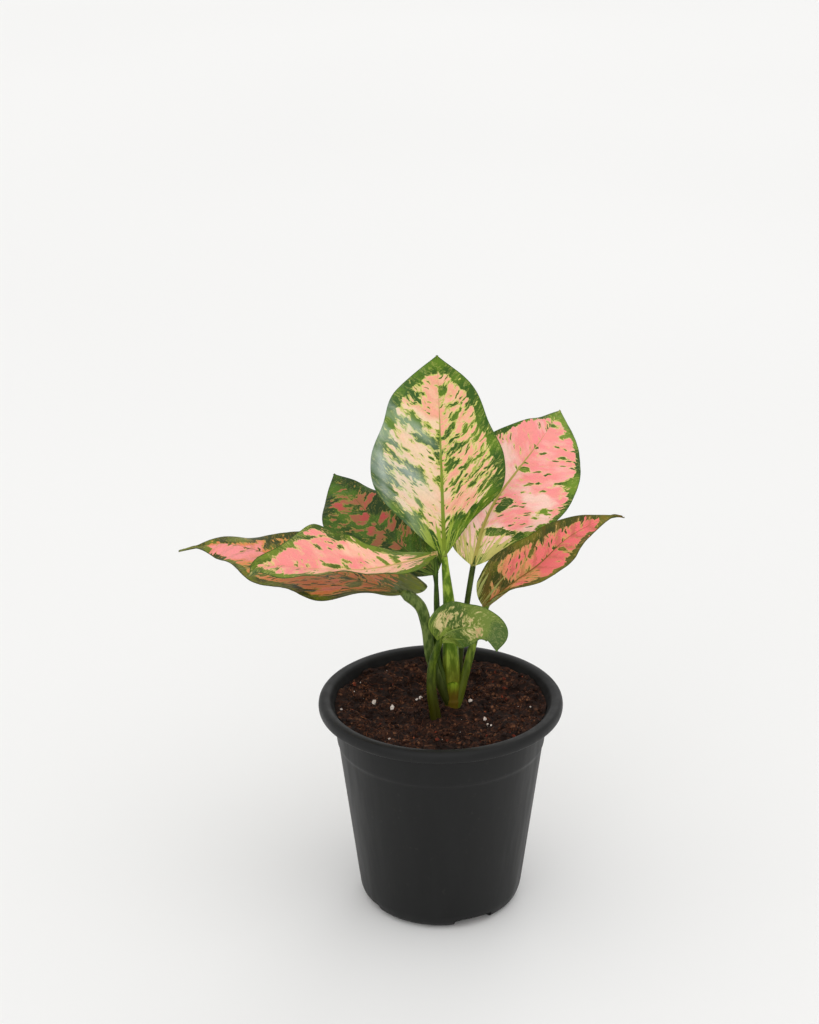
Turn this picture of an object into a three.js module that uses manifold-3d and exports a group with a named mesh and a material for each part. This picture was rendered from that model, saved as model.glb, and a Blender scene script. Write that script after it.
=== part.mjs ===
// Potted Chinese evergreen: a young pink-leaved plant in a round nursery pot.
// Millimetres, +Z up. The origin is the centre of the pot's flat underside. -Y is the plant's
// front, +X its right. Each leaf is a blade on its own stalk, and the stalks rise from a short cane.
import * as THREE from "three";
import { mergeVertices } from "three/addons/utils/BufferGeometryUtils.js";
import Module from "manifold-3d";

const wasm = await Module();
wasm.setup();

// ---- Driving dimensions ----

const CLEAR = 0.3; // gap left between neighbouring pieces
const REACH = 4; // how far a cutting solid reaches past the face that it opens
const WELD = 1e-4; // points closer than this are one point

const POT_SIDES = 60;
const FLOOR_THICK = 1.8;
// outside of the pot from the floor up to the rim's inner edge: radius, height
const POT_OUTSIDE = [
  [37.8, 0],
  [40.5, 0.8],
  [42.8, 3.2],
  [44.2, 7.5],
  [45.2, 15],
  [55.1, 93],
  [55.9, 94.8],
  [56.6, 104],
  [57.3, 112.6],
  [58.0, 116.4],
  [63.4, 117.4],
  [64.0, 116.2],
  [63.9, 113],
  [64.7, 112.5],
  [65.5, 113.6],
  [65.6, 116.4],
  [64.8, 118.3],
  [63.0, 119],
  [60.8, 118.9],
  [59.2, 118],
];
// inside of the pot from the rim down to the floor
const POT_INSIDE = [
  [57.0, 114.6],
  [56.1, 112],
  [55.4, 104],
  [54.6, 95.4],
  [53.9, 92.8],
  [44.0, 15.4],
  [42.9, 8.2],
  [41.4, 4.4],
  [39.4, 2.3],
  [37.6, FLOOR_THICK],
];
// drain notches round the foot: angle of the first, and the breadth of each, in degrees
const DRAIN = { count: 4, firstAngle: -65, span: 25, height: 5.2, innerRadius: 35.5, outerRadius: 49.2 };

const SOIL_TOP = 111.6; // level of the mix round the plant
const SOIL_BANK = { height: 3.4, from: 26, to: 54 }; // how the mix rises towards the wall, by radius
const SOIL_SHOULDER = 2.5; // how far below its level the side of the mix ends
const SOIL_SIDE_HEIGHTS = [4.6, 8.4, 15.4, 60];
const SOIL_GAP = 0.4; // between the mix and the pot's wall
const SOIL_RINGS = 11;
// swells and crumbs of the mix: how fast each ripples along x and y, its phase and its height
const SOIL_RIPPLES = [
  { x: 0.31, y: -0.05, phase: 1.3, height: 0.4 },
  { x: 0.17, y: 0.23, phase: 0, height: 0.4 },
  { x: 1.1, y: -0.7, phase: 0.6, height: 0.35 },
  { x: 0.5, y: 0.9, phase: 2, height: 0.35 },
];

// cane: height, radius and leaning centre of each section, from its buried foot to its crown
const CANE = [
  { z: 72, r: 2.6, x: 7.5, y: 2 },
  { z: 84, r: 4.4, x: 7, y: 1.6 },
  { z: 104, r: 4.6, x: 6.6, y: 1.2 },
  { z: 112, r: 4.1, x: 6.4, y: 1 },
  { z: 116, r: 4.5, x: 6.3, y: 1 },
  { z: 118, r: 4.2, x: 6.2, y: 1 },
  { z: 124, r: 4.6, x: 5.9, y: 1.2 },
  { z: 128, r: 4.8, x: 5.8, y: 1.4 },
];
const CANE_SIDES = 14;
// plain holes in the mix, round the cane and round the stalk that rises by itself in front
const CANE_HOLE_RADIUS = 5.65;
const FRONT_STALK_HOLE_RADIUS = 3.9;
const HOLE_SIDES = 20;

const STALK_SIDES = 10;
const STALK_STEPS = 13;

const BLADE_THICK = 0.8;
const BLADE_ROWS = 17;
// columns of each half blade, from the midrib (0) to the margin (1)
const BLADE_COLUMNS = [0.08, 0.3, 0.52, 0.72, 0.88, 1];
const RIB_KEEL = 0.9; // how far the midrib stands out under the blade at its base
const POINTED = 12; // half-breadth under which waves and lobes die away
const LOBE_FADE = 6; // how quickly a basal lobe dies away towards the tip
const SLIGHT = 1e-3; // least bend of a half blade, in radians
const DRIP_HALF = 1.1; // half-breadth at the root of a drawn-out point

// Leaves. rib: the midrib from the stalk to the tip. face: the way the upper side looks, at the
// base and at the tip. Every pair below is [left, right], as seen with the tip up and the upper
// side towards the eye. half: half-breadths at even stations along the rib. fold and edge: the rise
// of each half at the midrib and at its margin, in degrees, at the base and at the tip.
// drip: length of the fine point drawn out past the blade. wave: height of the margin's waves,
// their count and where they start. lobe: how far the half reaches back past the stalk.
// stalk: its centre line. thick: its radius at the foot, middle and top.
const LEAVES = [
  {
    name: "top",
    colour: 0xc9c68a,
    rib: [[2, 11, 195], [1, 14, 223], [0, 21, 252], [-1, 31, 276], [-2, 44, 296]],
    face: [[0, -1, 0.25], [0, -1, 0.6]],
    half: [[17, 34, 37, 30, 22.5], [13, 31, 33, 25.5, 18.5]],
    fold: [[16, 16], [10, 10]],
    edge: [[-8, -8], [-5, -5]],
    wave: { height: [1.5, 1.5], count: [2, 2], start: [0, 0.3] },
    lobe: [2, 2],
    stalk: [[5.8, 1.4, 128.3], [5.2, 2, 145], [4.4, 4, 170], [2.4, 9.4, 190], [2, 11, 194.6]],
    thick: [4.8, 3.7, 1.6],
  },
  {
    name: "right_rear",
    colour: 0xe9a39b,
    rib: [[17, 17, 187], [23, 27, 207], [30, 35, 219], [40, 46, 229], [54, 64, 241], [66, 93, 248]],
    face: [[0.1, -1, 0.7], [0.3, -1, 0.8]],
    half: [[22, 27, 26, 18, 8.5], [18, 30, 34, 31, 21]],
    fold: [[25, 5], [20, 5]],
    edge: [[10, -8], [5, -15]],
    wave: { height: [1.5, 1.5], count: [2, 2], start: [0, 0.3] },
    lobe: [6, 6],
    stalk: [[8.5, 5, 118], [10.8, 9, 142], [13.9, 12, 167], [17, 17, 187]],
    thick: [2, 1.6, 1.5],
  },
  {
    name: "right",
    colour: 0xd98272,
    rib: [[23, 5, 169], [37, -1, 184], [52, -4, 198], [69, -3, 214], [90, 0, 223], [95.3, 0, 222]],
    drip: 5.4,
    face: [[-0.6, -0.1, 0.8], [-0.3, -0.1, 1]],
    half: [[15, 21, 18, 12, 8], [8.5, 22.5, 24.5, 18, 8]],
    fold: [[48, 42], [29, -28]],
    edge: [[48, 32], [19, -28]],
    wave: { height: [1.7, 1.2], count: [2, 2], start: [0, 0.6] },
    lobe: [17, 4],
    stalk: [[9.5, 0, 116], [13, 2, 131], [17, 4, 147], [20, 5, 158], [23, 5, 169]],
    thick: [2.4, 2.3, 1.6],
  },
  {
    name: "left_rear",
    colour: 0x7d5a48,
    rib: [[-2, 16, 183], [-19, 28, 192], [-34, 42, 201], [-47, 58, 210], [-59, 78, 216]],
    face: [[0, -1, 1], [0, -1, 1]],
    half: [[12, 16, 22, 24, 15], [20, 24, 20, 13, 7]],
    fold: [[0, 10], [0, 20]],
    edge: [[-8, -8], [-5, -5]],
    wave: { height: [1.5, 1.5], count: [2, 2], start: [0, 0.3] },
    lobe: [6, 6],
    stalk: [[4, 4, 119], [-1, 6, 140], [-1.4, 10, 160], [-2, 16, 183]],
    thick: [1.9, 1.3, 1.1],
  },
  {
    name: "left_upper",
    colour: 0xeba79a,
    rib: [
      [-1.5, 5, 199.5], [-19, 0, 196.8], [-39, -6, 195.4], [-63, -10, 197.4], [-83, -12, 200],
      [-95, -13, 199.5], [-99, -13, 194],
    ],
    face: [[0, -0.1, 1], [0, -0.1, 1]],
    half: [[13, 17, 14, 16, 14], [10, 16, 24, 33, 12]],
    fold: [[14, 14], [14, 22]],
    edge: [[14, 20], [14, 22]],
    wave: { height: [3, 2.6], count: [1.3, 1.8], start: [0.62, 0.5] },
    lobe: [5, 0],
    stalk: [[2.5, -1, 126], [-2.4, -1, 146], [-2.4, 1, 171], [-1.8, 4.9, 198.7]],
    thick: [2, 1.4, 1.1],
  },
  {
    name: "left_lower",
    colour: 0xd79e84,
    rib: [
      [-17, -8, 182.4], [-38, 2, 184], [-67, 16, 187], [-91, 26, 190], [-115, 34, 193], [-134, 40, 188],
      [-142, 41, 185.5],
    ],
    drip: 8.4,
    face: [[0, -0.3, 1], [0, -0.3, 1]],
    half: [[17, 31, 29, 26.5, 14], [21, 21, 31, 17.5, 9]],
    fold: [[18, -20], [8, 5]],
    edge: [[18, -16], [0, 0]],
    wave: { height: [2, 2.9], count: [3.7, 2.5], start: [0.73, 0.87] },
    lobe: [4, 27],
    stalk: [[3, -1, 118], [-5, -3, 142], [-7.5, -5, 163], [-11, -6.5, 175], [-16.1, -8, 181.4]],
    thick: [2.4, 3, 3.2],
  },
  {
    name: "front",
    colour: 0x93a274,
    rib: [[-1, -10, 155], [3, -13, 162], [12, -17, 167], [21, -21, 169], [28, -24, 166], [29, -25, 157]],
    face: [[0, -1, 0.5], [0.3, -1, 0.3]],
    half: [[11.5, 15, 12.5, 10, 7], [9, 10.5, 9, 6, 5]],
    fold: [[10, -10], [10, -10]],
    edge: [[0, -10], [0, -10]],
    wave: { height: [0.6, 0.6], count: [2, 2], start: [0, 0.3] },
    lobe: [0, 1],
    stalk: [[-2.3, -13, 98], [-2.7, -13, 112], [-4.9, -12, 128], [-4.5, -10.5, 142], [-1.3, -10, 154.3]],
    thick: [3.2, 2.7, 1.8],
  },
];

// ---- Small helpers ----

const radians = THREE.MathUtils.degToRad;
const mix = THREE.MathUtils.lerp;
const smooth = THREE.MathUtils.smoothstep;
const vector = (p) => new THREE.Vector3(...p);

function meshFrom(points, triangles) {
  const geometry = new THREE.BufferGeometry();
  geometry.setAttribute("position", new THREE.Float32BufferAttribute(points.flat(), 3));
  geometry.setIndex(triangles.flat());
  return geometry;
}

function solidFrom(geometry) {
  const bare = geometry.clone();
  bare.deleteAttribute("normal");
  bare.deleteAttribute("uv");
  const merged = mergeVertices(bare, WELD);
  const mesh = new wasm.Mesh({
    numProp: 3,
    vertProperties: Float32Array.from(merged.attributes.position.array),
    triVerts: Uint32Array.from(merged.index.array),
  });
  return new wasm.Manifold(mesh);
}

function geometryFrom(solid) {
  const mesh = solid.getMesh();
  const geometry = new THREE.BufferGeometry();
  geometry.setAttribute("position", new THREE.BufferAttribute(mesh.vertProperties, 3));
  geometry.setIndex(new THREE.BufferAttribute(mesh.triVerts, 1));
  return geometry;
}

// the piece that is left when thin cuts have parted off small scraps
function largestOf(solid) {
  const pieces = solid.decompose();
  return pieces.reduce((best, piece) => (piece.volume() > best.volume() ? piece : best));
}

function named(name, geometry, colour, roughness) {
  const material = new THREE.MeshStandardMaterial({ color: colour, roughness, metalness: 0 });
  const shown = geometry.index ? geometry.toNonIndexed() : geometry;
  shown.computeVertexNormals();
  const mesh = new THREE.Mesh(shown, material);
  mesh.name = name;
  return mesh;
}

// a closed tube through rings of equally many points, with a fan over each end
function loft(rings) {
  const sides = rings[0].length;
  const points = rings.flat();
  const triangles = [];
  for (let k = 0; k + 1 < rings.length; k += 1) {
    for (let i = 0; i < sides; i += 1) {
      const a = k * sides + i;
      const b = k * sides + ((i + 1) % sides);
      triangles.push([a, b, b + sides], [a, b + sides, a + sides]);
    }
  }
  const last = (rings.length - 1) * sides;
  for (let i = 1; i + 1 < sides; i += 1) {
    triangles.push([0, i + 1, i], [last, last + i, last + i + 1]);
  }
  return meshFrom(points, triangles);
}

// ---- Pot ----

function potSolid() {
  const outline = [[0, 0], ...POT_OUTSIDE, ...POT_INSIDE, [0, FLOOR_THICK]];
  const lathe = new THREE.LatheGeometry(outline.map(([r, z]) => new THREE.Vector2(r, z)), POT_SIDES);
  lathe.rotateX(Math.PI / 2);
  let pot = solidFrom(lathe);
  const outerRadius = DRAIN.outerRadius;
  for (let k = 0; k < DRAIN.count; k += 1) {
    const angle = DRAIN.firstAngle + (k * 360) / DRAIN.count;
    const wide = 2 * outerRadius * Math.tan(radians(DRAIN.span / 2));
    const deep = outerRadius - DRAIN.innerRadius;
    const notch = new THREE.BoxGeometry(deep, wide, DRAIN.height + REACH);
    notch.translate(DRAIN.innerRadius + deep / 2, 0, (DRAIN.height - REACH) / 2);
    notch.rotateZ(radians(angle));
    pot = pot.subtract(solidFrom(notch));
  }
  return pot;
}

// radius of the inside of the pot at a height
function insideRadius(z) {
  const wall = [...POT_INSIDE].reverse();
  for (let k = 0; k + 1 < wall.length; k += 1) {
    const [r0, z0] = wall[k];
    const [r1, z1] = wall[k + 1];
    if (z <= z1) return mix(r0, r1, Math.max(0, (z - z0) / (z1 - z0)));
  }
  return wall[wall.length - 1][0];
}

// ---- Potting mix ----

function soilHeight(x, y) {
  const rises = SOIL_RIPPLES.map((wave) => wave.height * Math.sin(wave.x * x + wave.y * y + wave.phase));
  const bank = SOIL_BANK.height * smooth(Math.hypot(x, y), SOIL_BANK.from, SOIL_BANK.to);
  return rises.reduce((sum, rise) => sum + rise, SOIL_TOP + bank);
}

function soilSolid() {
  const edgeHeight = SOIL_TOP + SOIL_BANK.height;
  const heights = [FLOOR_THICK + CLEAR, ...SOIL_SIDE_HEIGHTS, edgeHeight - SOIL_SHOULDER];
  const rings = heights.map((z) => circle(insideRadius(z) - SOIL_GAP, POT_SIDES, () => z));
  const rim = insideRadius(edgeHeight) - SOIL_GAP;
  for (let k = 0; k < SOIL_RINGS; k += 1) {
    rings.push(circle(rim * (1 - k / SOIL_RINGS), POT_SIDES, soilHeight));
  }
  return solidFrom(loft(rings));
}

function circle(radius, sides, height) {
  const points = [];
  for (let i = 0; i < sides; i += 1) {
    const angle = (2 * Math.PI * i) / sides;
    const x = radius * Math.cos(angle);
    const y = radius * Math.sin(angle);
    points.push([x, y, height(x, y)]);
  }
  return points;
}

// a plain upright hole from just under a foot up through the top of the mix
function plainHole(x, y, radius, footHeight) {
  const bottom = footHeight - CLEAR;
  const tall = SOIL_TOP + REACH - bottom;
  const hole = new THREE.CylinderGeometry(radius, radius, tall, HOLE_SIDES);
  hole.rotateX(Math.PI / 2);
  hole.translate(x, y, bottom + tall / 2);
  return solidFrom(hole);
}

// ---- Cane and leaf stalks ----

function caneSolid(extra) {
  const rings = CANE.map(({ z, r, x, y }, k) => {
    const ends = k === 0 ? -extra : k === CANE.length - 1 ? extra : 0;
    const ring = circle(r + extra, CANE_SIDES, () => z + ends);
    return ring.map(([px, py, pz]) => [px + x, py + y, pz]);
  });
  return solidFrom(loft(rings));
}

function stalkSolid(leaf, extra) {
  const line = new THREE.CatmullRomCurve3(leaf.stalk.map(vector));
  const [foot, middle, top] = leaf.thick;
  const rings = [];
  for (let k = 0; k <= STALK_STEPS; k += 1) {
    const s = k / STALK_STEPS;
    const along = line.getTangentAt(s);
    const out = new THREE.Vector3(1, 0, 0).cross(along).normalize();
    const side = along.clone().cross(out).normalize();
    const radius = extra + (s < 0.5 ? mix(foot, middle, 2 * s) : mix(middle, top, 2 * s - 1));
    const centre = line.getPointAt(s);
    const ring = [];
    for (let i = 0; i < STALK_SIDES; i += 1) {
      const angle = (2 * Math.PI * i) / STALK_SIDES;
      const point = centre.clone();
      point.addScaledVector(out, radius * Math.cos(angle));
      point.addScaledVector(side, radius * Math.sin(angle));
      ring.push(point.toArray());
    }
    rings.push(ring);
  }
  return solidFrom(loft(rings));
}

// ---- Leaf blades ----

// half-breadth at s of the way to the tip, on a smooth curve through the stations
function halfBreadth(stations, s) {
  const count = stations.length;
  const all = [-stations[0], 0, ...stations, 0, -stations[count - 1]];
  const place = s * (count + 1);
  const k = Math.min(Math.floor(place), count);
  const t = place - k;
  const [a, b, c, d] = all.slice(k, k + 4);
  const curve = (c - a) * t + (2 * a - 5 * b + 4 * c - d) * t ** 2 + (3 * b - a - 3 * c + d) * t ** 3;
  return Math.max(0, b + 0.5 * curve);
}

// half-breadth of one side of a leaf, with the fine point that some tips are drawn out into
function sideBreadth(leaf, side, s, length) {
  const drip = (leaf.drip ?? 0) / length;
  if (drip === 0) return halfBreadth(leaf.half[side], s);
  const point = DRIP_HALF * Math.min(1, (1 - s) / drip);
  return Math.max(point, halfBreadth(leaf.half[side], Math.min(1, s / (1 - drip))));
}

// the middle of the blade and the way it faces, at s along the rib and v across it (-1 to 1)
function bladePoint(leaf, line, s, v) {
  const along = line.getTangentAt(s);
  const face = vector(leaf.face[0]).lerp(vector(leaf.face[1]), s);
  const right = along.clone().cross(face).normalize();
  const up = right.clone().cross(along);
  const side = v < 0 ? 0 : 1;
  const q = Math.abs(v);
  const breadth = sideBreadth(leaf, side, s, line.getLength());
  const near = Math.min(1, breadth / POINTED);
  const inner = radians(mix(leaf.fold[0][side], leaf.fold[1][side], s));
  const outer = radians(mix(leaf.edge[0][side], leaf.edge[1][side], s));
  const turn = Math.abs(outer - inner) < SLIGHT ? SLIGHT : outer - inner;
  const tilt = inner + turn * q;
  const across = (breadth * (Math.sin(tilt) - Math.sin(inner))) / turn;
  const rise = (breadth * (Math.cos(inner) - Math.cos(tilt))) / turn;
  const { height, count, start } = leaf.wave;
  const wave = height[side] * q * q * Math.sin(2 * Math.PI * (count[side] * s + start[side])) * near;
  const back = leaf.lobe[side] * q * q * (1 - s) ** LOBE_FADE * near;
  const outward = side === 0 ? -1 : 1;
  const point = line.getPointAt(s);
  point.addScaledVector(right, outward * across);
  point.addScaledVector(up, rise + wave);
  point.addScaledVector(along, -back);
  const lean = q === 0 ? 0 : tilt;
  const normal = up.clone().multiplyScalar(Math.cos(lean));
  normal.addScaledVector(right, -outward * Math.sin(lean));
  return { point, normal };
}

function bladeSolid(leaf, extra) {
  const line = new THREE.CatmullRomCurve3(leaf.rib.map(vector));
  const columns = [...BLADE_COLUMNS.map((q) => -q).reverse(), 0, ...BLADE_COLUMNS];
  const wide = columns.length;
  const points = [];
  const layer = (under) => {
    const first = points.length;
    const depth = under ? -(BLADE_THICK / 2 + extra) : BLADE_THICK / 2 + extra;
    for (let k = 0; k <= BLADE_ROWS; k += 1) {
      const s = k / BLADE_ROWS;
      const pointed = k === 0 || k === BLADE_ROWS;
      for (const v of pointed ? [0] : columns) {
        const { point, normal } = bladePoint(leaf, line, s, v);
        const keel = under && v === 0 && !pointed ? RIB_KEEL * (1 - s) : 0;
        points.push(point.addScaledVector(normal, depth - keel).toArray());
      }
    }
    return first;
  };
  const upper = layer(false);
  const lower = layer(true);
  // place of a vertex in its layer: single points at the base and the tip, full rows between
  const at = (k, i) => {
    if (k === 0) return 0;
    if (k === BLADE_ROWS) return 1 + (BLADE_ROWS - 1) * wide;
    return 1 + (k - 1) * wide + i;
  };
  const triangles = [];
  const both = (a, b, c) => {
    triangles.push([upper + a, upper + b, upper + c], [lower + a, lower + c, lower + b]);
  };
  const rimQuad = (a, b) => {
    triangles.push([upper + a, lower + a, lower + b], [upper + a, lower + b, upper + b]);
  };
  for (let k = 0; k < BLADE_ROWS; k += 1) {
    for (let i = 0; i + 1 < wide; i += 1) {
      if (k > 0) both(at(k, i), at(k, i + 1), at(k + 1, i + 1));
      if (k + 1 < BLADE_ROWS) both(at(k, i), at(k + 1, i + 1), at(k + 1, i));
    }
    rimQuad(at(k + 1, 0), at(k, 0));
    rimQuad(at(k, wide - 1), at(k + 1, wide - 1));
  }
  return solidFrom(meshFrom(points, triangles));
}

// ---- Assembly ----

const plant = new THREE.Group();
const add = (name, solid, colour, roughness) => {
  plant.add(named(name, geometryFrom(solid), colour, roughness));
};

add("pot", potSolid(), 0x242525, 0.55);

const [frontFoot, frontCollar] = LEAVES.find((leaf) => leaf.name === "front").stalk;
const [caneFoot, , , caneCollar] = CANE;
const caneHole = plainHole(caneCollar.x, caneCollar.y, CANE_HOLE_RADIUS, caneFoot.z);
const frontHole = plainHole(frontCollar[0], frontCollar[1], FRONT_STALK_HOLE_RADIUS, frontFoot[2]);
const soil = soilSolid().subtract(caneHole).subtract(frontHole);
add("potting_mix", largestOf(soil), 0x3f261b, 0.95);

add("cane", caneSolid(0), 0x8d9440, 0.5);
let taken = caneSolid(CLEAR);
for (const leaf of LEAVES) {
  const clearOfBlade = stalkSolid(leaf, 0).subtract(bladeSolid(leaf, CLEAR));
  const stalk = largestOf(clearOfBlade.subtract(taken));
  add(`stalk_${leaf.name}`, stalk, 0x7f9a4a, 0.45);
  taken = taken.add(stalkSolid(leaf, CLEAR));
}
for (const leaf of LEAVES) add(`leaf_${leaf.name}`, bladeSolid(leaf, 0), leaf.colour, 0.4);

export default plant;
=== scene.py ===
import random
from math import cos, exp, hypot, pi, radians, remainder, sin, sqrt, tan, tau

import bpy
import numpy as np
from mathutils import Euler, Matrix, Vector, noise


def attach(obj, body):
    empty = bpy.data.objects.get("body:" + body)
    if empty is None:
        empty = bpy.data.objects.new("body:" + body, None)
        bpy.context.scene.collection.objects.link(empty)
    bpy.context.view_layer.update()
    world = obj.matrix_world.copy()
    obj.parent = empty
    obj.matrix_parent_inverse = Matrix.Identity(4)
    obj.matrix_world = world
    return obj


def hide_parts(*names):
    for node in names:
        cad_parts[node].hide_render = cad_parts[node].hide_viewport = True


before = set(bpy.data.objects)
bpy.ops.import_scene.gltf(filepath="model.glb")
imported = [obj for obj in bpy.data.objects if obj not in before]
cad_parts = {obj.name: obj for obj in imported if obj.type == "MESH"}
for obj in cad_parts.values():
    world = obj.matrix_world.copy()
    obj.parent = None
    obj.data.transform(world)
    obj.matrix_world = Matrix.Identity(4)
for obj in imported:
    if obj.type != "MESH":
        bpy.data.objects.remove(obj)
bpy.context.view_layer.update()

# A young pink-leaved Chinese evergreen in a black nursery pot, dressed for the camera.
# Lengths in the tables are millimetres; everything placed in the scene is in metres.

MM = 0.001

# ---- Camera ----

CAMERA_AT = (0, -1.069, 0.6595)
CAMERA_DOWN = 22.11  # degrees under the horizontal
LENS, SENSOR, LENS_SHIFT = 78.26, 36, -0.0305


def linked(name, data):
    """A new object in the scene, made from its data."""
    thing = bpy.data.objects.new(name, data)
    bpy.context.scene.collection.objects.link(thing)
    return thing


def set_camera():
    """The photograph's view: from the front and a little above."""
    data = bpy.data.cameras.new("camera")
    data.sensor_width = SENSOR
    data.lens = LENS
    data.shift_x = LENS_SHIFT
    camera = linked("camera", data)
    camera.location = CAMERA_AT
    camera.rotation_euler = (radians(90 - CAMERA_DOWN), 0, 0)
    bpy.context.scene.camera = camera


set_camera()

# ---- The plant's measures ----

GENTLE = [[1.5, 1.5], [2, 2], [0, 0.3]]

# Each leaf: its midrib; the way its face looks at the base and at the tip; half-breadths at even stations,
# left and right; slant of the skin beside the midrib (fold) and at the margin (edge), in degrees, left and
# right, at the base and at the tip; waves of the margin: height, count and start, left and right; lobes at
# the base; drip, the length of a drawn-out point, if any; the stalk from foot to top, and its radius at
# foot, middle and top
LEAVES = {
    "top": dict(
        rib=[[2, 11, 195], [1, 14, 223], [0, 21, 252], [-1, 31, 276], [-2, 44, 296]],
        face=[[0, -1, 0.25], [0, -1, 0.6]],
        half=[[17, 34, 37, 30, 22.5], [13, 31, 33, 25.5, 18.5]],
        fold=[[16, 16], [10, 10]],
        edge=[[-8, -8], [-5, -5]],
        wave=GENTLE,
        lobe=[2, 2],
        stalk=[[5.8, 1.4, 128.3], [5.2, 2, 145], [4.4, 4, 170], [2.4, 9.4, 190], [2, 11, 194.6]],
        thick=[4.8, 3.7, 1.6],
    ),
    "right_rear": dict(
        rib=[[17, 17, 187], [23, 27, 207], [30, 35, 219], [40, 46, 229], [54, 64, 241], [66, 93, 248]],
        face=[[0.1, -1, 0.7], [0.3, -1, 0.8]],
        half=[[22, 27, 26, 18, 8.5], [18, 30, 34, 31, 21]],
        fold=[[25, 5], [20, 5]],
        edge=[[10, -8], [5, -15]],
        wave=GENTLE,
        lobe=[6, 6],
        stalk=[[8.5, 5, 118], [10.8, 9, 142], [13.9, 12, 167], [17, 17, 187]],
        thick=[2, 1.6, 1.5],
    ),
    "right": dict(
        rib=[[23, 5, 169], [37, -1, 184], [52, -4, 198], [69, -3, 214], [90, 0, 223], [95.3, 0, 222]],
        drip=5.4,
        face=[[-0.6, -0.1, 0.8], [-0.3, -0.1, 1]],
        half=[[15, 21, 18, 12, 8], [8.5, 22.5, 24.5, 18, 8]],
        fold=[[48, 42], [29, -28]],
        edge=[[48, 32], [19, -28]],
        wave=[[1.7, 1.2], [2, 2], [0, 0.6]],
        lobe=[17, 4],
        stalk=[[9.5, 0, 116], [13, 2, 131], [17, 4, 147], [20, 5, 158], [23, 5, 169]],
        thick=[2.4, 2.3, 1.6],
    ),
    "left_rear": dict(
        rib=[[-2, 16, 183], [-19, 28, 192], [-34, 42, 201], [-47, 58, 210], [-59, 78, 216]],
        face=[[0, -1, 1], [0, -1, 1]],
        half=[[12, 16, 22, 24, 15], [20, 24, 20, 13, 7]],
        fold=[[0, 10], [0, 20]],
        edge=[[-8, -8], [-5, -5]],
        wave=GENTLE,
        lobe=[6, 6],
        stalk=[[4, 4, 119], [-1, 6, 140], [-1.4, 10, 160], [-2, 16, 183]],
        thick=[1.9, 1.3, 1.1],
    ),
    "left_upper": dict(
        rib=[
            [-1.5, 5, 199.5], [-19, 0, 196.8], [-39, -6, 195.4], [-63, -10, 197.4],
            [-83, -12, 200], [-95, -13, 199.5], [-99, -13, 194],
        ],
        face=[[0, -0.1, 1], [0, -0.1, 1]],
        half=[[13, 17, 14, 16, 14], [10, 16, 24, 33, 12]],
        fold=[[14, 14], [14, 22]],
        edge=[[14, 20], [14, 22]],
        wave=[[3, 2.6], [1.3, 1.8], [0.62, 0.5]],
        lobe=[5, 0],
        stalk=[[2.5, -1, 126], [-2.4, -1, 146], [-2.4, 1, 171], [-1.8, 4.9, 198.7]],
        thick=[2, 1.4, 1.1],
    ),
    "left_lower": dict(
        rib=[
            [-17, -8, 182.4], [-38, 2, 184], [-67, 16, 187], [-91, 26, 190], [-115, 34, 193],
            [-134, 40, 188], [-142, 41, 185.5],
        ],
        drip=8.4,
        face=[[0, -0.3, 1], [0, -0.3, 1]],
        half=[[17, 31, 29, 26.5, 14], [21, 21, 31, 17.5, 9]],
        fold=[[18, -20], [8, 5]],
        edge=[[18, -16], [0, 0]],
        wave=[[2, 2.9], [3.7, 2.5], [0.73, 0.87]],
        lobe=[4, 27],
        stalk=[[3, -1, 118], [-5, -3, 142], [-7.5, -5, 163], [-11, -6.5, 175], [-16.1, -8, 181.4]],
        thick=[2.4, 3, 3.2],
    ),
    "front": dict(
        rib=[
            [-1, -10, 155], [3, -13, 162], [12, -17, 167], [21, -21, 169], [28, -24, 166],
            [29, -25, 157],
        ],
        face=[[0, -1, 0.5], [0.3, -1, 0.3]],
        half=[[11.5, 15, 12.5, 10, 7], [9, 10.5, 9, 6, 5]],
        fold=[[10, -10], [10, -10]],
        edge=[[0, -10], [0, -10]],
        wave=[[0.6, 0.6], [2, 2], [0, 0.3]],
        lobe=[0, 1],
        stalk=[[-2.3, -13, 98], [-2.7, -13, 112], [-4.9, -12, 128], [-4.5, -10.5, 142], [-1.3, -10, 154.3]],
        thick=[3.2, 2.7, 1.8],
    ),
}

# outside of the pot from the floor up to the rim's inner edge: radius, height
POT_OUTSIDE = [
    [37.8, 0], [40.5, 0.8], [42.8, 3.2], [44.2, 7.5], [45.2, 15], [55.1, 93], [55.9, 94.8],
    [56.6, 104], [57.3, 112.6], [58, 116.4], [63.4, 117.4], [64, 116.2], [63.9, 113],
    [64.7, 112.5], [65.5, 113.6], [65.6, 116.4], [64.8, 118.3], [63, 119], [60.8, 118.9],
    [59.2, 118],
]
# inside of the pot from the rim down to the floor
POT_INSIDE = [
    [57, 114.6], [56.1, 112], [55.4, 104], [54.6, 95.4], [53.9, 92.8], [44, 15.4],
    [42.9, 8.2], [41.4, 4.4], [39.4, 2.3], [37.6, 1.8],
]
POT_FLOOR = 1.8
POT_SIDES = 192
CORNER_REACH = (0.8, 0.3)  # the outline's corners are cut twice
DRAIN = dict(count=4, first=-65, span=25, height=5.2, inner=35.5, outer=49.2, rounding=1.2)

SOIL_TOP = 111.6
SOIL_EDGE = 56.7
SOIL_SIDE = [
    [37.2, 2.1], [41.1, 4.6], [42.5, 8.4], [43.6, 15.4], [49.3, 60], [54.9, 106], [55.8, 112.5],
]
SOIL_SIDES, SOIL_RINGS = 200, 54
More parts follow.
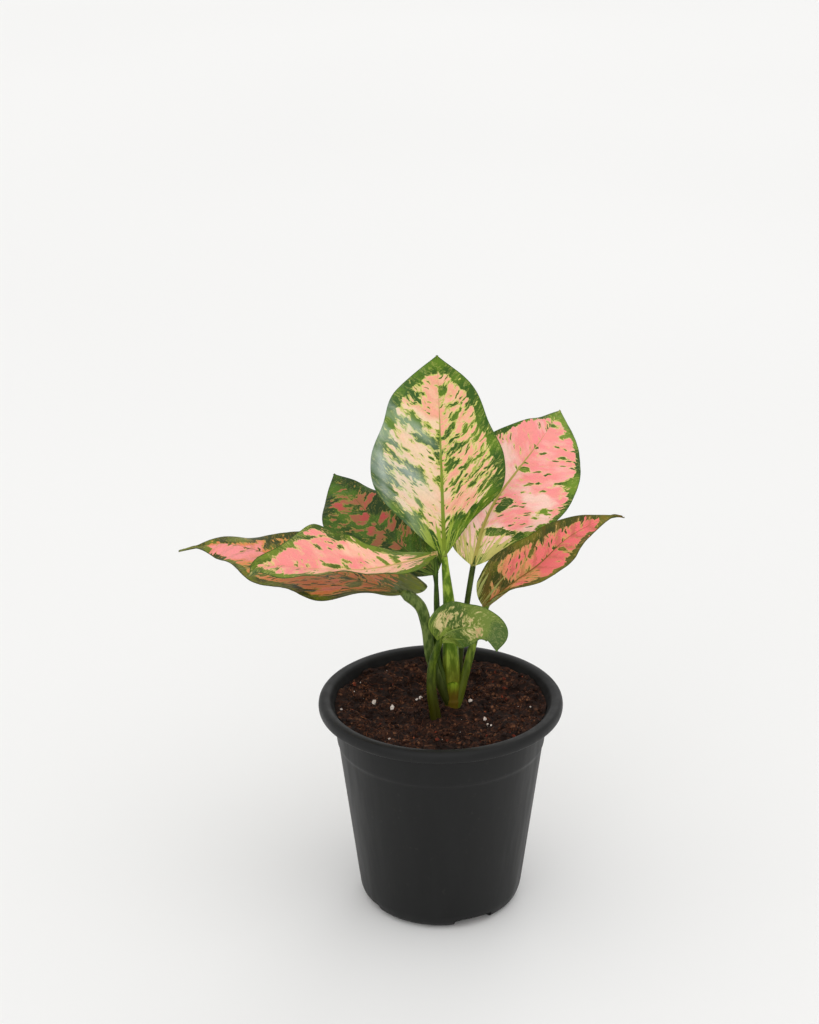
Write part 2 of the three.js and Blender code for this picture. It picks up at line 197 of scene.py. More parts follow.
# swells of the mix: how fast each goes along x and y, where it starts, its height
SOIL_RIPPLES = [(0.31, -0.05, 1.3, 0.4), (0.17, 0.23, 0, 0.4), (1.1, -0.7, 0.6, 0.35), (0.5, 0.9, 2, 0.35)]
SOIL_CLODS = (1.7, 9)  # height and breadth
SOIL_HEAPS = [(1.6, 6, 1, 90), (0.8, -4, -13, 40)]  # height, middle, breadth squared
SOIL_BANK = (3.4, 26, 54)  # how much higher the mix lies along the wall, and from which radius to which
SOIL_CLEAR = [(6.5, 1, 5.6), (-2.7, -13, 3.6)]  # round the cane and the front stalk: middle, radius
WALL_CLEAR = 2.2

# perlite grains that can be told apart in the photo: place, radius
PERLITE = [
    (-36, 3, 1.7), (-26, -1, 1.8), (-11, 10, 1.5), (-13, 9, 0.9), (16, 6, 1.5), (23.5, -15, 1.4),
    (25, -20, 1.1), (26.5, -22, 0.8), (-53, -9, 1), (-41, -25, 0.6), (48, -6, 0.7), (-44, 24, 0.6),
]
BARK = [(35, 29, 1.2), (35, 19, 1.5), (35.5, 8, 1.1), (-2, -43, 1.7), (30, 36, 1), (-14, -38, 0.9)]
FIBRES = 150
FIBRE_STEPS = 5

# cane: height, radius and leaning centre of each section
CANE = [
    [72, 2.6, 7.5, 2], [84, 4.4, 7, 1.6], [104, 4.6, 6.6, 1.2], [112, 4.1, 6.4, 1],
    [116, 4.5, 6.3, 1], [118, 4.2, 6.2, 1], [124, 4.6, 5.9, 1.2], [128, 4.8, 5.8, 1.4],
]
CANE_RING = 116  # height of the leaf scar round the cane
CANE_STEPS = 90
STALK_STEPS = 72
STALK_ROOT = 3.5  # how far each stalk runs on into the cane or the mix
STALK_END = 6  # how far it runs on under the midrib
# the way each stalk's groove looks, in degrees from the front towards the right
GROOVES = {
    "top": 10, "right_rear": 320, "right": 270, "left_rear": 60, "left_upper": 90, "left_lower": 100,
    "front": 30,
}

BLADE_ROWS, BLADE_COLUMNS = 132, 64
BLADE_LIFT = 0.25  # upper face over the middle of the blade
BLADE_BODY, BLADE_EDGE = 0.5, 0.28  # thickness in the middle and at the margin
RIB_KEEL = 0.9  # how far the midrib stands out under the blade at its base
RIB_KEEL_TIP, RIB_KEEL_HALF = 0.2, 1.5  # the same at the tip, and the keel's half-breadth
RIB_FURROW, RIB_FURROW_HALF = 0.4, 1.1
THICKEST = 1.9
POINTED = 12  # half-breadth under which waves and lobes die away
LOBE_FADE = 6
DRIP_HALF = 1.1  # half-breadth at the root of a drawn-out point
RIPPLE, RIPPLES = 0.45, 5.3  # small waves of the margin: height, and how many along the blade
SWELL = 0.32  # how far the skin swells between two side veins
DRIFT, DRIFT_SPAN = 0.5, 16  # slow unevenness: height and breadth
# side veins, with lengths in centimetres: slant at the base and further on, the share of the blade over
# which it changes, the bend towards the tip, and the gap between two of them
VEIN_SLANT, VEIN_SLANT_FAR, VEIN_SLANT_REACH, VEIN_BEND, VEIN_GAP = 1.25, 0.5, 0.55, 0.11, 0.9

# ---- Modelling helpers ----


def select_only(piece):
    bpy.ops.object.select_all(action="DESELECT")
    piece.select_set(True)
    bpy.context.view_layer.objects.active = piece


def apply_modifier(piece, kind, **settings):
    """Adds one modifier to a piece and applies it."""
    select_only(piece)
    modifier = piece.modifiers.new(kind.lower(), kind)
    for name, value in settings.items():
        setattr(modifier, name, value)
    bpy.ops.object.modifier_apply(modifier=modifier.name)


def weld(piece, reach=2e-6, face_out=True):
    """Joins vertices that lie within reach and, if asked, turns every face outwards."""
    select_only(piece)
    bpy.ops.object.mode_set(mode="EDIT")
    bpy.ops.mesh.select_all(action="SELECT")
    bpy.ops.mesh.remove_doubles(threshold=reach)
    if face_out:
        bpy.ops.mesh.normals_make_consistent(inside=False)
    bpy.ops.object.mode_set(mode="OBJECT")


def from_points(name, points, faces):
    """A piece made from its points, in metres, and its faces."""
    mesh = bpy.data.meshes.new(name)
    mesh.from_pydata(points, [], faces)
    return linked(name, mesh)


def shaped_grid(name, across, along, place, marks=None):
    """A flat grid whose vertices are moved to place(u, t), with u and t from 0 to 1, and welded.

    marks(u, t) gives the three numbers of each named attribute that the finish of an open sheet reads."""
    bpy.ops.mesh.primitive_grid_add(x_subdivisions=across, y_subdivisions=along, size=1)
    piece = bpy.context.object
    piece.name = piece.data.name = name
    mesh = piece.data
    while mesh.uv_layers:
        mesh.uv_layers.remove(mesh.uv_layers[0])
    spots = [(round(v.co.x + 0.5, 6), round(v.co.y + 0.5, 6)) for v in mesh.vertices]
    for vertex, (u, t) in zip(mesh.vertices, spots):
        vertex.co = place(u, t)
    if marks:
        rows = [marks(u, t) for u, t in spots]
        for key in rows[0]:
            layer = mesh.attributes.new(key, "FLOAT_VECTOR", "POINT")
            layer.data.foreach_set("vector", [number for row in rows for number in row[key]])
    weld(piece, face_out=not marks)
    return piece


def turned(name, sides, outline, lift=None):
    """A closed shape turned on the pot's axis from an outline of [radius, height]."""
    steps = len(outline) - 1

    def place(u, t):
        radius, height = outline[round(t * steps)]
        angle = tau * u
        point = Vector((radius * cos(angle), radius * sin(angle), height)) * MM
        return lift(point, height) if lift else point

    return shaped_grid(name, sides, steps, place)


def tube(name, sides, steps, skin):
    """A tube with closed ends; skin(share, angle, wide) has wide 0 at the ends and 1 elsewhere."""
    def place(u, t):
        k = round(t * (steps + 2))
        share = min(1, max(0, (k - 1) / steps))
        return skin(share, tau * u, 0 if k in (0, steps + 2) else 1) * MM

    return shaped_grid(name, sides, steps + 2, place)


def finish(piece, node, materials, smooth=50):
    """Seats a finished piece in the frame and gives it its materials."""
    piece.data.materials.clear()
    for material in materials:
        piece.data.materials.append(material)
    if smooth:
        select_only(piece)
        bpy.ops.object.shade_smooth_by_angle(angle=radians(smooth))
    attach(piece, "root")
    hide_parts(node)


def eased(low, high, value):
    share = min(1, max(0, (value - low) / (high - low)))
    return share * share * (3 - 2 * share)


def smooth_line(points, steps=200):
    """A curve through points, read by the share of its length: gives a point and a direction."""
    knots = [Vector(p) for p in points]
    knots = [2 * knots[0] - knots[1], *knots, 2 * knots[-1] - knots[-2]]
    spans = len(knots) - 3
    path = []
    for k in range(steps + 1):
        at = k / steps * spans
        i = min(int(at), spans - 1)
        w = at - i
        a, b, c, d = knots[i:i + 4]
        ab, bc, cd = (max((q - p).length ** 0.5, 1e-4) for p, q in ((a, b), (b, c), (c, d)))
        start = ((b - a) / ab - (c - a) / (ab + bc) + (c - b) / bc) * bc
        end = ((c - b) / bc - (d - b) / (bc + cd) + (d - c) / cd) * bc
        path.append(b + start * w + (3 * c - 3 * b - 2 * start - end) * w ** 2
                    + (2 * b - 2 * c + start + end) * w ** 3)
    path = np.array(path)
    reach = np.r_[0, np.cumsum(np.linalg.norm(np.diff(path, axis=0), axis=1))]

    def at_share(s):
        return Vector([float(np.interp(s * reach[-1], reach, path[:, k])) for k in range(3)])

    def direction(s):
        return (at_share(min(1, s + 0.01)) - at_share(max(0, s - 0.01))).normalized()

    return at_share, direction, float(reach[-1])


def linear(colour):
    """A colour written as 0-255 values, as the shader wants it."""
    parts = [c / 255 for c in colour]
    return [c / 12.92 if c <= 0.04045 else ((c + 0.055) / 1.055) ** 2.4 for c in parts] + [1]

# ---- Finishes ----


class Wiring:
    """Places nodes in one tree and joins them."""

    def __init__(self, tree):
        self.tree = tree

    def feed(self, socket, value):
        if isinstance(value, bpy.types.NodeSocket):
            self.tree.links.new(value, socket)
        else:
            socket.default_value = value

    def fill(self, sockets, values):
        """Feeds sockets by name or number or, from a plain list, one after the other."""
        for key, value in values.items() if isinstance(values, dict) else enumerate(values):
            self.feed(sockets[key], value)

    def node(self, kind, inputs=(), **settings):
        node = self.tree.nodes.new("ShaderNode" + kind)
        for name, value in settings.items():
            setattr(node, name, value)
        self.fill(node.inputs, inputs)
        return node

    def calc(self, kind, *values, clamp=False):
        return self.node("Math", values, operation=kind, use_clamp=clamp).outputs[0]

    def plus(self, a, b):
        return self.calc("ADD", a, b)

    def minus(self, a, b):
        return self.calc("SUBTRACT", a, b)

    def times(self, a, b):
        return self.calc("MULTIPLY", a, b)

    def line(self, value, by, plus, clamp=False):
        """value * by + plus"""
        return self.calc("MULTIPLY_ADD", value, by, plus, clamp=clamp)

    def stirred(self, value, noise_value, by, clamp=False):
        """value, moved up or down by a noise that lies round one half."""
        return self.line(self.minus(noise_value, 0.5), by, value, clamp)

    def step(self, value, low, high, start=0, end=1):
        """Eases from start to end as value goes from low to high."""
        inputs = value, low, high, start, end
        return self.node("MapRange", inputs, interpolation_type="SMOOTHSTEP").outputs[0]

    def mix(self, share, a, b):
        """A colour between a and b."""
        return self.node("Mix", {0: share, 6: a, 7: b}, data_type="RGBA").outputs[2]

    def blend(self, share, a, b):
        """A number between a and b."""
        return self.node("Mix", {0: share, 2: a, 3: b}, data_type="FLOAT").outputs[0]

    def grain(self, place, scale, detail=2, roughness=0.5):
        """Soft noise; a scale of three numbers draws it out."""
        if isinstance(scale, tuple):
            place = self.node("Mapping", {"Vector": place, "Scale": scale}).outputs[0]
            scale = 1
        inputs = {"Vector": place, "Scale": scale, "Detail": detail, "Roughness": roughness}
        return self.node("TexNoise", inputs).outputs["Fac"]

    def cells(self, place, scale, output="Distance"):
        return self.node("TexVoronoi", {"Vector": place, "Scale": scale}).outputs[output]

    def spot(self, x, y, z):
        return self.node("CombineXYZ", (x, y, z)).outputs[0]

    def split(self, value, kind="XYZ"):
        """The three numbers of a place or, with kind Color, of a colour."""
        return self.node("Separate" + kind, [value]).outputs

    def mark(self, name):
        """The three numbers of one attribute of the piece."""
        return self.split(self.node("Attribute", attribute_name=name).outputs["Vector"])

    def object_place(self):
        return self.node("TexCoord").outputs["Object"]


def new_group(name, numbers, colours):
    """An empty skin: a node group that makes a colour, a roughness and a height from its inputs."""
    group = bpy.data.node_groups.new(name, "ShaderNodeTree")
    for labels, way, kind in (
        (numbers, "INPUT", "Float"), (colours, "INPUT", "Color"),
        (["Color"], "OUTPUT", "Color"), (["Roughness", "Height"], "OUTPUT", "Float"),
    ):
        for label in labels:
            group.interface.new_socket(label, in_out=way, socket_type="NodeSocket" + kind)
    given, out = (group.nodes.new("NodeGroup" + end) for end in ("Input", "Output"))
    return group, Wiring(group), given.outputs, out.inputs

# one column for each leaf, in the order of LEAVES; margins, midrib and veins in centimetres
LEAF_NUMBERS = {
    "Seed": [3.1, 11.4, 21.7, 33.3, 41.9, 52.6, 63.2],
    "Left Grain": [1.1, 1.1, 1.5, 1.7, 1.15, 1.05, 2.8],
    "Right Grain": [1.25, 1.2, 1.2, 1.7, 1.15, 1.4, 2.8],
    "Left Cover": [0.49, 1.02, 0.6, 0.3, 0.86, 0.6, 0.3],
    "Right Cover": [0.48, 0.94, 0.78, 0.28, 0.85, 0.5, 0.34],
    "Left Margin": [0.4, 0.15, 0.35, 0.2, 0.25, 0.3, 0.15],
    "Right Margin": [0.42, 0.3, 0.3, 0.15, 0.3, 0.3, 0.1],
    "Left Slant": [1, 1, 1, 1, 1, 1, 0.6],
    "Right Slant": [1.45, 1, 1, 1, 1, 1, 0.6],
    "Halo": [1.2, 1.1, 1.2, 0.8, 1.2, 1.1, 1.5],
    "Fleck": [0.6, 0.32, 0.4, 0.5, 0.32, 0.6, 0.35],
    "Base Reach": [0.13, 0.13, 0.1, 0.1, 0.15, 0.12, 0.2],
    "Tip Fade": [0.12, 0.3, 0.05, 0.1, 0.2, 0.1, 0.9],
    "Deep From": [1.1, 0.84, 0.7, 1.12, 0.85, 1.25, 0.9],
    "Deep Side": [0.5, 0.1, 0.1, 0, 0, -0.2, 0],
    "Midrib": [0.14, 0.13, 0.12, 0.06, 0.1, 0.08, 0.04],
    "Vein": [0.1, 0.06, 0.4, 0, 0.05, 0.25, 0.1],
    "Vein Spread": [1, 1, 2.2, 1, 1, 2, 1],
    # painted sheen: how strongly a pale haze, standing in for reflected light, lies in bands over the left
    # half
    "Painted Sheen": [0.3, 0, 0, 0, 0, 0, 0],
}
# painted shade: the fourth column, for the left rear leaf, is darkened throughout, and the sixth, for the
# left lower leaf, has orange-brown pale flesh; both stand for the shade of the leaves above them
LEAF_COLOURS = {
    "Dark": [(44, 82, 2), (50, 84, 8), (56, 64, 6), (34, 58, 6), (60, 84, 10), (48, 58, 2), (62, 88, 20)],
    "Green": [(88, 120, 14), (110, 140, 34), (106, 106, 22), (74, 108, 22), (112, 132, 34),
              (108, 118, 16), (104, 122, 42)],
    "Halo Colour": [(206, 204, 106), (224, 208, 122), (208, 166, 96), (150, 140, 64), (224, 200, 122),
                    (204, 158, 74), (168, 166, 98)],
    "Pale": [(242, 206, 174), (255, 208, 196), (228, 142, 100), (164, 98, 68), (254, 194, 168),
             (228, 130, 72), (208, 190, 136)],
    "Deep": [(243, 166, 142), (255, 146, 148), (240, 108, 114), (190, 74, 74), (250, 142, 142),
             (252, 148, 148), (194, 154, 112)],
    "Base Colour": [(150, 170, 56), (206, 196, 112), (168, 170, 96), (110, 130, 50), (96, 118, 34),
                    (96, 110, 50), (128, 146, 58)],
    "Rib Colour": [(122, 142, 38), (172, 160, 78), (136, 96, 34), (72, 88, 28), (206, 170, 110),
                   (120, 112, 44), (122, 140, 60)],
    # the colour of the painted sheen: a pale bluish tint standing in for reflected light
    "Painted Sheen Colour": [(200, 212, 206)] * 6 + [(140, 160, 130)],
}
PALE_GREEN = (150, 160, 104)

# marks that place single patches: share along the midrib and place across (-100 to 100) in per cent, half
# length and half width in millimetres, lean in degrees from straight across, then the flesh, redness and
# painted sheen (a pale haze standing in for reflected light) that they add, in per cent
LEAF_MARKS = {
    "top": [
        (75, -14, 10, 4.2, 90, 70, 90), (88, 2, 9, 3, 0, 50, 50), (84, 42, 5, 4, 30, 40, 50),
        (82, 10, 2, 1.4, 0, -130), (74, 26, 8, 4, 60, 30, 30), (51.5, -27, 12, 3.3, 132, 80, 10),
        (33.5, -25, 12, 4.2, 135, 80, 15), (42, -40, 13, 2.8, 132, -60, 0, 35),
        (62, -30, 10, 2.2, 132, -50, 0, 30), (31, -57, 6, 3, 120, 40, 20), (28, 38, 11, 4.5, 20, 50, 25),
        (20, 43, 5, 2.5, 20, -70), (50, -85, 22, 2, 95, -30, 0, 30),
    ],
    "right_rear": [
        (92, -50, 16, 3, 0, -70), (86, 10, 3, 3, 90, -70), (54, 9, 3, 1.8, 20, -220),
        (33, 17, 5, 2, 65, -220), (19, 36, 11, 2.2, 25, -200), (65, 86, 13, 2.2, 85, -80),
        (42, 72, 7, 2, 60, -80), (72, 55, 5, 1.8, 50, -80), (84, 50, 4, 1.5, 60, -80),
        (60, 70, 4, 1.5, 60, -60), (62, -93, 6, 3, 90, -80), (77, -65, 8, 5, 0, 30, 50),
        (30, 55, 12, 5, 60, 20, 50), (30, -10, 14, 1.6, 88, 20, -120),
    ],
    "right": [
        (54, -33, 14, 2.6, 108, 50, 80), (33, -42, 9, 4, 120, 50, 50), (46, -55, 12, 1.2, 120, -70),
        (18, -40, 9, 2.8, 0, -100), (50, -90, 26, 2.5, 90, -20, -160), (80, 10, 16, 5, 0, 50, 70),
        (52, 45, 10, 4, 20, 40, 100), (60, 30, 12, 1.2, 28, -80), (28, 50, 12, 2.5, 20, -40, -50),
        (40, 45, 15, 3.5, 18, -35, -90), (68, -75, 8, 2, 100, -30, -100),
    ],
    "left_rear": [
        (74, -45, 4, 3, 90, 70, 70), (84, -40, 10, 3, 110, 40, -40), (71, 10, 7, 3.5, 10, 60, -30),
        (67, 50, 12, 2, 15, 50), (58, -12, 5, 3.2, 20, 100, 120), (49, -20, 4, 2.2, 30, 90, 120),
        (50, 25, 3, 2.5, 0, 90, 120), (41, -25, 8, 2.8, 10, 60, 40), (42, 18, 3, 3, 0, 50, 60),
        (35, 36, 4, 4, 0, 30, 30), (30, -15, 4.2, 2.6, -30, 200, -260), (30, -25, 9, 4, 150, -100),
        (19, 28, 7, 6, 0, -100), (55, 10, 5, 3, 0, -50),
    ],
    "left_upper": [
        (63, 50, 5, 1.6, 60, -120), (70, 72, 7, 1.6, 100, -90), (78, 85, 8, 2.5, 60, -90),
        (55, 8, 9, 1.6, 80, -100), (48, 28, 4, 1.4, 70, -90), (50, 62, 2.5, 1.4, 60, -90),
        (28, 30, 6, 1.2, 30, -120), (50, 97, 32, 1.2, 90, -70), (82, 15, 9, 5, 80, 30, 30),
        (68, 60, 8, 5, 40, 30, 100), (50, 30, 12, 4, 80, 20, 70), (30, 20, 10, 6, 0, 10, -70),
        (86, -40, 10, 5, 0, -45, -50), (60, -75, 16, 3, 90, -60), (21, 40, 11, 2.5, 0, -70),
        (24, -50, 10, 3, 0, -40),
    ],
    "left_lower": [
        (73, -40, 15, 8.5, 120, 90, 160), (82, -65, 10, 5, 100, 60, 120), (86, -10, 8, 3, 0, 30, 20),
        (78, 10, 9, 3, 20, -40), (75, 70, 24, 5, 90, -80), (67, 40, 5, 3, 20, 70, 50),
        (37, -72, 4, 4, 90, 70, 50), (29, -55, 10, 4, 0, 40), (18, 20, 9, 3, 0, 60, 30),
        (50, -92, 30, 1.8, 90, -80), (20, -30, 10, 3, 0, -60),
    ],
    "front": [
        (87, 0, 13, 8, 0, -130, 0, 6), (58, 60, 6, 2.2, 70, 45, 50), (62, 25, 3, 2, 0, 50, 80),
        (28, -50, 4, 2, 0, 30, 40), (19, -60, 5, 1.2, 160, 60, 30), (50, -35, 9, 3, 80, 10, 30),
        (30, 50, 8, 5, 0, -50),
    ],
}

# stalks: the lighter and the darker green, and the foot
CANE_COLOURS = ((130, 156, 40), (74, 100, 12), (92, 70, 16))
STALK_COLOURS = {
    "top": ((150, 174, 60), (80, 112, 18), (96, 90, 22)),
    # painted shade: the right rear stalk is given darker greens, standing in for the shade it stands in
    "right_rear": ((70, 86, 26), (40, 56, 12), (58, 64, 18)),
    "right": ((126, 148, 50), (62, 86, 16), (76, 82, 20)),
    "left_rear": ((68, 90, 24), (38, 58, 8), (56, 62, 18)),
    "left_upper": ((76, 100, 30), (42, 64, 12), (54, 60, 16)),
    "left_lower": ((104, 120, 60), (56, 76, 26), (44, 48, 10)),
    "front": ((84, 102, 20), (48, 68, 4), (48, 46, 2)),
}


def leaf_skin_group():
    """Blotches, flecks, green margins and veins that follow the blade."""
    group, w, given, out = new_group("leaf_skin", LEAF_NUMBERS, LEAF_COLOURS)
    dark, green, halo_colour, pale, rib_colour = (
        given[label] for label in ("Dark", "Green", "Halo Colour", "Pale", "Rib Colour"))
    along, across, rim = w.mark("blade_place")
    # the third number of blade_paint is painted sheen, standing in for reflected light
    share, _, _ = w.mark("blade_share")
    flesh_mark, red_mark, painted_sheen_mark = w.mark("blade_paint")
    aside = w.calc("ABSOLUTE", across)
    right = w.calc("GREATER_THAN", across, 0)
    seed = w.line(right, 7.3, given["Seed"])

    def sided(label):
        """The number given for the half of the blade that the spot lies in."""
        return w.blend(right, given["Left " + label], given["Right " + label])

    grain = sided("Grain")
    # the side veins leave the midrib at a slant and bend towards the tip
    slant = w.times(w.step(share, 0, VEIN_SLANT_REACH, VEIN_SLANT, VEIN_SLANT_FAR), sided("Slant"))
    lane = w.minus(along, w.times(aside, slant))
    lane = w.minus(lane, w.times(w.times(aside, aside), VEIN_BEND))
    lane = w.line(w.grain(w.spot(along, across, seed), 2.2), 0.5, lane)

    def field(thick, long, turn, kind, *rest):
        """A pattern drawn out along the side veins, finer or coarser with the leaf's grain."""
        down = w.times(lane, w.times(grain, thick))
        out_to = w.times(aside, w.times(grain, long))
        return kind(w.spot(down, out_to, w.plus(seed, turn)), 1, *rest)

    tone = w.grain(w.spot(along, across, given["Seed"]), 0.75, 1.5)
    fine = w.grain(w.spot(along, across, seed), 14)
    soft = field(1.9, 1.15, 0, w.grain, 2.6, 0.58)
    shards = w.split(field(4.6, 2.7, 3.7, w.cells, "Color"), "Color")
    torn = field(6.5, 4.2, 5.1, w.grain, 2, 0.6)
    blotches = w.stirred(w.stirred(soft, shards[0], 0.1), torn, 0.2)

    # flesh gives way to green along the margins and, on some leaves, towards the tip
    width = sided("Margin")
    edge = w.step(rim, w.times(width, 0.45), w.line(width, 1.55, 0.08), 1, 0)
    lost = w.plus(w.times(edge, 0.75), w.times(given["Tip Fade"], w.step(share, 0.7, 1)))
    cover = w.line(flesh_mark, 0.8, w.minus(sided("Cover"), lost))
    level = w.line(w.minus(0.5, cover), 0.5, 0.5)
    patch = w.step(blotches, w.minus(level, 0.01), w.plus(level, 0.01))
    # a band of halo colour lies round each patch, narrower near the margin
    fringe = w.times(given["Halo"], w.line(edge, -0.045, 0.05))
    halo_level = w.minus(level, fringe)
    halo = w.step(blotches, w.minus(halo_level, 0.01), w.plus(halo_level, 0.015))
    shade = w.step(w.line(fine, 0.3, tone), 0.52, 0.75)
    ground = w.mix(shade, green, dark)
    colour = w.mix(halo, ground, w.mix(w.times(shards[1], 0.5), halo_colour, green))

    # pale flesh reddens in drifts; every patch pales towards its border
    redness = w.line(right, given["Deep Side"], w.line(tone, 0.9, share))
    redness = w.line(red_mark, 0.5, redness)
    redness = w.step(redness, given["Deep From"], w.plus(given["Deep From"], 0.3))
    redness = w.stirred(redness, field(1.5, 0.6, 2.2, w.grain, 3, 0.6), 2.4, clamp=True)
    flesh = w.mix(redness, pale, given["Deep"])
    border = w.step(blotches, level, w.line(fringe, 1.2, level), 0.75, 0)
    flesh = w.mix(border, flesh, w.mix(0.45, halo_colour, pale))
    flesh = w.mix(w.times(shards[2], 0.12), flesh, halo_colour)
    colour = w.mix(patch, colour, flesh)

    # small green islands in the flesh, each with a paler rim
    islands = w.stirred(field(4.4, 1.9, 9.1, w.cells), fine, 0.35)
    speck_draw, draw, size_draw = w.split(field(4.4, 1.9, 9.1, w.cells, "Color"), "Color")
    crowd = w.line(edge, 0.35, w.stirred(given["Fleck"], tone, 0.9))
    chosen = w.calc("LESS_THAN", draw, w.line(flesh_mark, -0.55, crowd))
    reach = w.line(size_draw, 0.32, 0.14)
    ring = w.times(w.step(islands, reach, w.plus(reach, 0.2), 0.8, 0), w.step(patch, 0, 1, 0.4, 1))
    colour = w.mix(w.times(chosen, ring), colour, halo_colour)
    island = w.step(islands, w.minus(reach, 0.06), reach, 1, 0)
    colour = w.mix(w.times(chosen, island), colour, ground)
    # specks of light colour in the green margin
    speck = w.times(w.calc("GREATER_THAN", speck_draw, 0.82), w.step(islands, 0.22, 0.34, 1, 0))
    speck = w.times(w.times(speck, edge), w.step(rim, 0.08, 0.2))
    colour = w.mix(speck, colour, halo_colour)
    # the outermost rim is plain green
    colour = w.mix(w.step(rim, 0.02, 0.06, 0.9, 0), colour, dark)

    # streaks that run out of the stalk into the base of the blade
    fan = w.calc("DIVIDE", across, w.plus(along, 0.5))
    streaks = w.grain(w.spot(w.times(fan, 15), w.times(along, 0.5), seed), 1, 3, 0.65)
    base = w.mix(w.step(streaks, 0.42, 0.6), given["Base Colour"], green)
    base_reach = given["Base Reach"]
    near_base = w.step(w.stirred(share, streaks, 0.9), w.times(base_reach, 0.6), base_reach, 1, 0)
    colour = w.mix(near_base, colour, base)

    # side veins, and the midrib
    beat = w.calc("ABSOLUTE", w.minus(w.calc("FRACT", w.calc("DIVIDE", lane, VEIN_GAP)), 0.5))
    spread = w.times(given["Vein Spread"], w.step(fine, 0.3, 0.7, 0.6, 1.4))
    vein = w.step(beat, w.times(spread, 0.03), w.times(spread, 0.12), 1, 0)
    vein = w.times(vein, w.step(aside, 0.3, 2.6, 1, 0.2))
    vein = w.times(vein, w.times(given["Vein"], w.step(soft, 0.4, 0.6, 0.35, 1)))
    colour = w.mix(vein, colour, rib_colour)
    rib_half = w.times(given["Midrib"], w.step(share, -0.15, 0.95, 1, 0.12))
    rib = w.step(aside, w.times(rib_half, 0.7), w.times(rib_half, 1.15), 1, 0)
    colour = w.mix(w.times(rib, w.step(share, 0.5, 0.85, 1, 0.35)), colour, rib_colour)

    # painted sheen: a pale bluish haze in bands over the left half, and where the marks put it, standing in
    # for reflected light; and slight unevenness everywhere
    left = w.times(w.minus(1, right), w.step(aside, 0.4, 2.4))
    bands = w.step(field(0.9, 0.3, 5.5, w.grain, 1), 0.4, 0.62, 0.1, 1)
    painted_sheen = w.line(w.times(left, given["Painted Sheen"]), bands, painted_sheen_mark, clamp=True)
    colour = w.mix(painted_sheen, colour, given["Painted Sheen Colour"])
    colour = w.mix(w.step(fine, 0.3, 0.75, 0, 0.1), colour, dark)
    roughness = w.step(w.line(fine, 0.4, soft), 0.5, 0.9, 0.4, 0.55)
    relief = w.line(w.step(beat, 0, 0.2), 0.6, w.times(fine, 0.25))
    w.fill(out, (colour, roughness, w.line(soft, 0.5, relief)))
    return group


def stalk_skin_group():
    """Long fibres, mottling and a pale foot, as on fleshy green stalks."""
    group, w, given, out = new_group(
        "stalk_skin", ["Seed", "Foot Height", "Foot Reach"], ["Light", "Dark", "Foot"])
    place = w.object_place()
    shifted = w.node("VectorMath", (place, w.spot(given["Seed"], 0, 0)), operation="ADD")
    fibres, mottle = (
        w.grain(shifted.outputs[0], scale, 3, 0.6) for scale in ((1400, 1400, 60), (330, 330, 110)))
    colour = w.mix(w.step(mottle, 0.38, 0.6), given["Light"], given["Dark"])
    colour = w.mix(w.step(fibres, 0.5, 0.72, 0, 0.45), colour, given["Dark"])
    top = w.plus(given["Foot Height"], given["Foot Reach"])
    near_foot = w.step(w.split(place)[2], given["Foot Height"], top, 0.92, 0)
    w.fill(out, (w.mix(near_foot, colour, given["Foot"]), w.step(mottle, 0.3, 0.7, 0.36, 0.52), fibres))
    return group


LEAF_SKIN = leaf_skin_group()
STALK_SKIN = stalk_skin_group()


def principled(name, specular):
    """A new material: gives it, its wiring and its shader."""
    material = bpy.data.materials.new(name)
    material.use_nodes = True
    shader = material.node_tree.nodes["Principled BSDF"]
    shader.inputs["Specular IOR Level"].default_value = specular
    return material, Wiring(material.node_tree), shader


def surface(w, shader, colour, roughness, height, strength, distance):
    """Joins colour, roughness and a relief of some strength and depth to the shader."""
    bump = w.node("Bump", {"Strength": strength, "Distance": distance, "Height": height})
    w.fill(shader.inputs, {"Base Color": colour, "Roughness": roughness, "Normal": bump.outputs[0]})


def skinned(name, group, specular, numbers, colours, strength, distance):
    """A material that wears one of the shared skins."""
    material, w, shader = principled(name, specular)
    skin = w.node("Group", numbers, node_tree=group)
    sockets = [socket for socket in skin.inputs if socket.type == "RGBA"]
    for socket, colour in zip(sockets, colours):
        socket.default_value = linear(colour)
    surface(w, shader, *skin.outputs, strength, distance)
    return material


def leaf_material(name, leaf, underside):
    """The skin of one leaf; the underside is paler and duller."""
    column = list(LEAVES).index(leaf)
    numbers = {label: row[column] for label, row in LEAF_NUMBERS.items()}
    colours = [row[column] for row in LEAF_COLOURS.values()]
    if underside:
        kept = 0.55
        colours = [[kept * c + (1 - kept) * g for c, g in zip(colour, PALE_GREEN)] for colour in colours]
    return skinned(name, LEAF_SKIN, 0.15 if underside else 0.25, numbers, colours, 0.7, 0.5 * MM)


def stalk_material(name, seed, colours, foot_height, foot_reach=0.035):
    numbers = {"Seed": seed, "Foot Height": foot_height, "Foot Reach": foot_reach}
    return skinned(name, STALK_SKIN, 0.15, numbers, colours, 0.35, 0.3 * MM)


